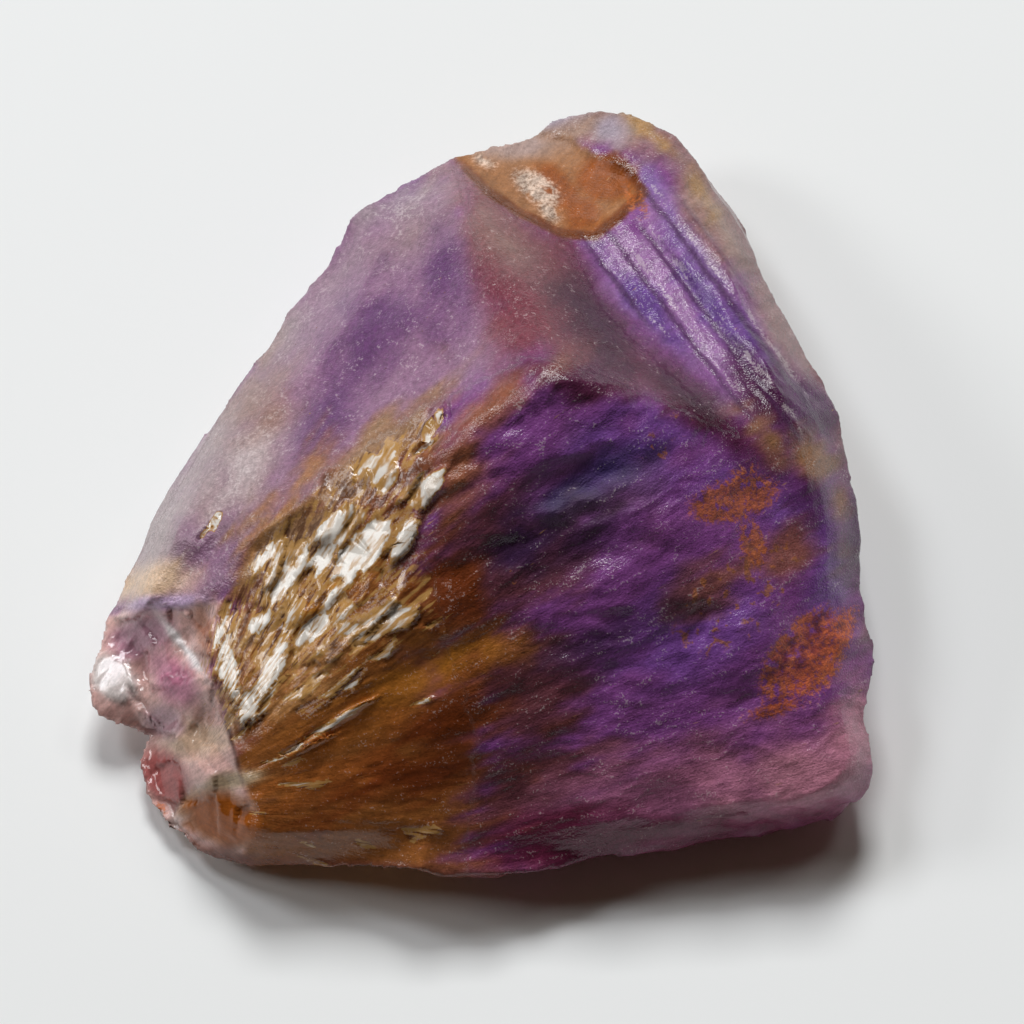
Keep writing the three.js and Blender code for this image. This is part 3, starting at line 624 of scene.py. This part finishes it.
def fracture_lines(u, v, z, broke):
    """Coordinates in mm along and across the fracture, for patterns that are drawn out along it.

    The amber band and the purple face have fans of their own, and the smooth faces have an even grain.
    """
    amber = (broke["amber"] > 0.5) * 1.0
    out, around = fan(u, v, *AMBER_FAN)
    purple_out, purple_around = fan(u, v, *PURPLE_FAN)
    lines = np.column_stack([
        out * amber + purple_out * (1 - amber), around * amber + purple_around * (1 - amber), 0.3 * z,
    ])
    even_grained = (broke["smooth"] > 0.5)[:, None] * 1.0
    return lines * (1 - even_grained) + np.column_stack([u / 0.3, v, z]) * even_grained


def paint(mesh):
    """Keeps the stone's colours, stains, painted glints and sheen, frost, clearness and finish on its
    points.
    """
    points = read_points(mesh)
    upper = upper_share(np.array([vertex.normal.z for vertex in mesh.vertices]))
    u, v = seen_at(points)
    drift = wander(u, v, 2.6, LAYER["drift"])
    out, around = fan(u, v, *PURPLE_FAN)
    streaks = wander(out, around * 4.0, 3.6, LAYER["streaks"])
    broke = fracture(u, v, np.zeros((len(u), 2)))
    amber = broke["amber"]
    smooth = broke["smooth"]
    glassy = smooth_step(outline_depth(u, v, CORNER), -0.1, 0.3)
    scar_depth = outline_depth(u, v, SCAR)
    scar = smooth_step(scar_depth, -0.1, 0.3) * upper
    stained, stain_shade = stain_films(u, v, upper)
    lip_frost_and_highlight, riser_shade = ledge_edges(u, v)

    shade = zoned_colours(u, v, drift, streaks)
    lower_rim = smooth_step(0.34 - np.abs(scar_depth + 0.2 * drift), 0, 0.2) * smooth_step(17.8 - v, 0, 1)
    tint(shade, 0.85 * lower_rim * upper, SCAR_EDGE)
    # The risers under the ledges are painted dark: painted shade where the steps face away from the lamps
    tint(shade, 0.6 * riser_shade, RISER_SHADE)

    # Painted reflections: the panes, the flakes that mirror the side lamp and the upper amber band are
    # painted silver where they glint
    jagged = PANE_JAGS * broke["threads"]
    panes = [smooth_step(patch_depth(u, v, patch) + jagged, 0.0, 0.12) for patch, _, _ in PANES]
    pane = np.max(panes, axis=0) * upper
    glass_pane = smooth_step(CORNER_LEFT_OF - u, 0, 0.4) * glassy
    painted_silver_glint = np.max([
        0.85 * broke["shine"], pane * (1 - 0.9 * glass_pane), 0.42 * broke["upper_amber"] * upper,
    ], axis=0)

    # Painted sheen and painted highlights: the sheen patches, the flakes that mirror the side lamp and the
    # panes get pale frost too
    sheen = smooth_step(place_depth(u, v, SHEENS) + 0.3 * streaks, -0.8, 0.6)
    frost_and_glints = 0.12 + 0.7 * broke["frost_and_glints"] + 0.5 * broke["lit"] + 0.3 * sheen
    frost_and_glints = np.max([frost_and_glints, lip_frost_and_highlight, 0.6 * pane * (1 - glassy)], axis=0) * (1 - glassy) * (0.4 + 0.6 * upper)

    thin_edge = smooth_step(place_depth(u, v, CLEAR_EDGES), -1.0, 1.0)
    clear = CLEARNESS["body"] + (CLEARNESS["thin edges"] - CLEARNESS["body"]) * thin_edge
    clear = np.maximum(clear, CLEARNESS["corner"] * glassy)
    clouds = 0.7 * smooth_step(place_depth(u, v, CLOUDY), -0.1, 0.2)
    clear *= 1 - np.max([stained, scar, clouds], axis=0)

    rough = ROUGHNESS["purple"] + (ROUGHNESS["amber"] - ROUGHNESS["purple"]) * amber
    rough += (ROUGHNESS["smooth"] - ROUGHNESS["purple"]) * smooth
    rough += 0.4 * smooth_step(patch_depth(u, v, DULL), -0.6, 0.6)
    glass = ROUGHNESS["corner"] + (ROUGHNESS["panes in the corner"] - ROUGHNESS["corner"]) * pane
    rough += glassy * (glass - rough)
    rough += np.maximum(stained, scar) * (ROUGHNESS["stained"] - rough)
    polish = np.max([glassy, 0.93 * pane, 0.86 * broke["lit"], 0.35 * amber], axis=0)

    keep(mesh, "stone_colour", "FLOAT_COLOR", linear(shade))
    keep(mesh, "stain_colour", "FLOAT_COLOR", linear(stain_shade))
    for name, values in (
        ("stain", 0.75 * stained), ("painted_silver_glint", painted_silver_glint), ("clearness", clear), ("roughness", rough),
        ("polish", polish), ("frost_and_glints", frost_and_glints),
    ):
        keep(mesh, name, "FLOAT", values)
    keep(mesh, "fracture_lines", "FLOAT_VECTOR", fracture_lines(u, v, points[:, 2], broke) * MM)


# Materials

# The quartz's patterns: how far they are drawn out along the fracture, their size in mm, and how many
# finer sizes they hold and how strongly. The real specks and hairs are too fine to show, and are drawn
# coarser.
PATTERNS = {
    "grain": (1.0, 0.2, 2.0, 0.7),
    "specks": (1.0, 0.1, 1.0, 0.5),
    "threads": (0.3, 0.3, 2.0, 0.6),
    "veins": (0.2, 0.24, 2.0, 0.7),
    "hairs": (0.07, 0.16, 1.0, 0.5),
}
# Pale frost, which also paints in sparkle, sheen and the lamps' highlights
FROST_AND_GLINT_PALE = "#F0E6E4"
CRACK_BROWN = "#4A2010"
# Painted glints: the colours that the flakes and panes take where they mirror the lamps
GOLD_GLINT = "#C69858"
SILVER_GLINT = "#F4EFE6"
QUARTZ_IOR = 1.544
BUMP_DEPTH = 0.07


def add_node(tree, kind, settings, inputs):
    """Adds a node, sets it and fills its inputs, by name or number, with values or with what feeds them."""
    node = tree.nodes.new(kind)
    for name, value in settings.items():
        setattr(node, name, value)
    for name, value in inputs.items():
        if isinstance(value, bpy.types.NodeSocket):
            tree.links.new(value, node.inputs[name])
        else:
            node.inputs[name].default_value = value
    return node


def broken_quartz():
    """Quartz, broken by hand: a glassy to satin fracture, purple from iron and amber where it was heated.

    Bruised crests and chips scatter light, and so show pale; that pale frost also paints in sparkle, sheen
    and the lamps' highlights. Iron has left rust in the surface's pores. The flakes of the amber band are
    painted gold and silver where they mirror the lamps, as painted reflections, with thin brown cracks
    between them.
    Thin films of weathering dull the reflections.
    """
    material = bpy.data.materials.new("broken_quartz")
    material.use_nodes = True
    tree = material.node_tree
    values = {}
    for name, output in (
        ("stone_colour", "Color"), ("stain_colour", "Color"), ("stain", "Fac"), ("painted_silver_glint", "Fac"),
        ("clearness", "Fac"), ("roughness", "Fac"), ("polish", "Fac"), ("frost_and_glints", "Fac"),
        ("fracture_lines", "Vector"),
    ):
        values[name] = add_node(tree, "ShaderNodeAttribute", {"attribute_name": name}, {}).outputs[output]
    place = add_node(tree, "ShaderNodeTexCoord", {}, {}).outputs["Object"]
    for name, (drawn_out, size, detail, roughness) in PATTERNS.items():
        spot = place
        if drawn_out < 1:
            spot = add_node(tree, "ShaderNodeMapping", {}, {
                "Vector": values["fracture_lines"], "Scale": (drawn_out, 1.0, 1.0),
            }).outputs[0]
        values[name] = add_node(tree, "ShaderNodeTexNoise", {}, {
            "Vector": spot, "Scale": 1 / (size * MM), "Detail": detail, "Roughness": roughness,
        }).outputs["Fac"]

    # Sums: so many times one value, and another value
    for name, weight, first, second in (
        ("both", 1.0, "grain", "threads"), ("bruised", 0.8, "both", "specks"),
        ("chips_and_glints", 0.75, "frost_and_glints", "bruised"), ("grains", 1.0, "stain", "grain"),
        ("streaked", 0.9, "hairs", "veins"), ("plates", 0.9, "painted_silver_glint", "streaked"),
        ("relief", 1.1, "veins", "specks"),
    ):
        values[name] = add_node(tree, "ShaderNodeMath", {"operation": "MULTIPLY_ADD"}, {
            0: values[first], 1: weight, 2: values[second],
        }).outputs[0]

    # What share of each point is frosted (its pale also painted sparkle and highlights), rusty, cracked, and
    # painted gold and silver glint: from which sum, where in it the share begins and is whole, and how much
    # it is there
    shares = {}
    for name, source, begins, whole, most in (
        ("frosted_and_glinting", "chips_and_glints", 1.72, 2.0, 0.6),
        ("rusty", "grains", 0.85, 1.25, 0.85),
        ("cracked", "streaked", 0.92, 0.78, 1.3),
        ("painted_gold_glint", "plates", 1.27, 1.52, 0.85),
        ("painted_silver_glint", "plates", 1.6, 1.92, 0.97),
    ):
        shares[name] = add_node(tree, "ShaderNodeMapRange", {"interpolation_type": "SMOOTHSTEP"}, {
            "Value": values[source], "From Min": begins, "From Max": whole, "To Max": most,
        }).outputs[0]
    shares["cracked"] = add_node(tree, "ShaderNodeMath", {"operation": "MULTIPLY", "use_clamp": True}, {
        0: shares["cracked"], 1: values["painted_silver_glint"],
    }).outputs[0]

    # The quartz and its rust vary in depth of colour with the grain
    depths = {}
    for name, colour, (low, high), (palest, deepest) in (
        ("quartz", "stone_colour", (0.7, 1.3), (0.76, 1.26)),
        ("rust", "stain_colour", (0.75, 1.25), (0.4, 1.5)),
    ):
        depth = add_node(tree, "ShaderNodeMapRange", {}, {
            "Value": values["both"], "From Min": low, "From Max": high, "To Min": palest, "To Max": deepest,
        }).outputs[0]
        depths[name] = add_node(tree, "ShaderNodeVectorMath", {"operation": "SCALE"}, {
            0: values[colour], "Scale": depth,
        }).outputs[0]
    pale = add_node(tree, "ShaderNodeMix", {"data_type": "RGBA"}, {
        "Factor": 0.5, 6: values["stone_colour"], 7: linear(FROST_AND_GLINT_PALE),
    }).outputs[2]
    colour = depths["quartz"]
    # The frost's pale also paints sparkle and highlights, and the gold and silver layers are painted
    # reflections of the lamps on the flakes and panes
    for name, over in (
        ("frosted_and_glinting", pale), ("rusty", depths["rust"]), ("cracked", linear(CRACK_BROWN)),
        ("painted_gold_glint", linear(GOLD_GLINT)), ("painted_silver_glint", linear(SILVER_GLINT)),
    ):
        colour = add_node(tree, "ShaderNodeMix", {"data_type": "RGBA"}, {
            "Factor": shares[name], 6: colour, 7: over,
        }).outputs[2]

    gloss = add_node(tree, "ShaderNodeMapRange", {}, {
        "Value": shares["painted_gold_glint"], "From Max": 0.85, "To Min": values["roughness"], "To Max": 0.1,
    }).outputs[0]
    strength = add_node(tree, "ShaderNodeMapRange", {}, {
        "Value": values["polish"], "To Min": 0.5, "To Max": 0.02,
    }).outputs[0]
    bump = add_node(tree, "ShaderNodeBump", {}, {
        "Height": values["relief"], "Strength": strength, "Distance": BUMP_DEPTH * MM,
    }).outputs[0]

    shader = tree.nodes["Principled BSDF"]
    shader.inputs["IOR"].default_value = QUARTZ_IOR
    shader.inputs["Specular IOR Level"].default_value = 0.3
    for name, socket in (
        ("Base Color", colour), ("Transmission Weight", values["clearness"]), ("Roughness", gloss),
        ("Normal", bump),
    ):
        tree.links.new(socket, shader.inputs[name])
    inside = add_node(tree, "ShaderNodeVolumeAbsorption", {}, {"Color": linear("#DCA8B8"), "Density": 400.0})
    tree.links.new(inside.outputs[0], tree.nodes["Material Output"].inputs["Volume"])
    return material


def pale_paper():
    """Matt paper, which gives a pale surface with no gloss."""
    material = bpy.data.materials.new("pale_paper")
    material.use_nodes = True
    shader = material.node_tree.nodes["Principled BSDF"]
    shader.inputs["Base Color"].default_value = linear("#EEF1F1")
    shader.inputs["Roughness"].default_value = 0.9
    shader.inputs["Specular IOR Level"].default_value = 0.2
    return material


# Studio

def add_floor():
    mesh = bpy.data.meshes.new("floor")
    sheet = bmesh.new()
    bmesh.ops.create_grid(sheet, x_segments=1, y_segments=1, size=0.6)
    sheet.to_mesh(mesh)
    sheet.free()
    floor = bpy.data.objects.new("floor", mesh)
    floor.location.z = cad_box[0][2]
    floor.data.materials.append(pale_paper())
    bpy.context.scene.collection.objects.link(floor)


def add_light(name, azimuth, elevation, distance, size, power, colour):
    """A square lamp that faces the stone."""
    lamp = bpy.data.lights.new(name, "AREA")
    lamp.shape = "SQUARE"
    lamp.size = size
    lamp.energy = power
    lamp.color = linear(colour)[:3]
    holder = bpy.data.objects.new(name, lamp)
    towards = direction(azimuth, elevation)
    holder.location = towards * distance
    holder.rotation_euler = towards.to_track_quat("Z", "Y").to_euler()
    bpy.context.scene.collection.objects.link(holder)


def add_camera():
    """A long lens at the photo's angle, which looks 65 degrees down at the middle of the view."""
    lens = bpy.data.cameras.new("camera")
    lens.lens = 300
    lens.sensor_width = 36
    lens.clip_end = 5
    camera = bpy.data.objects.new("camera", lens)
    distance = FRAME_WIDTH * MM * lens.lens / lens.sensor_width
    target = Vector((0, -AIM_HEIGHT * COS_VIEW / SIN_VIEW, AIM_HEIGHT)) - DRAWN_AT
    away = Vector((0, -COS_VIEW, SIN_VIEW))
    camera.location = target * MM + away * distance
    camera.rotation_euler = away.to_track_quat("Z", "Y").to_euler()
    bpy.context.scene.collection.objects.link(camera)
    bpy.context.scene.camera = camera


def set_world():
    """A dim warm room, which fills the shadows."""
    world = bpy.data.worlds.new("studio")
    world.use_nodes = True
    background = world.node_tree.nodes["Background"]
    background.inputs["Color"].default_value = linear("#E4B890")
    background.inputs["Strength"].default_value = 0.048
    bpy.context.scene.world = world
    bpy.context.scene.view_settings.view_transform = "Standard"


add_camera()
set_world()
add_floor()
for name, lamp in LAMPS.items():
    add_light(name, *lamp)

stone = fine_stone()
stone.data.materials.clear()
stone.data.materials.append(broken_quartz())
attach(stone, "root")
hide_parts("ametrine")
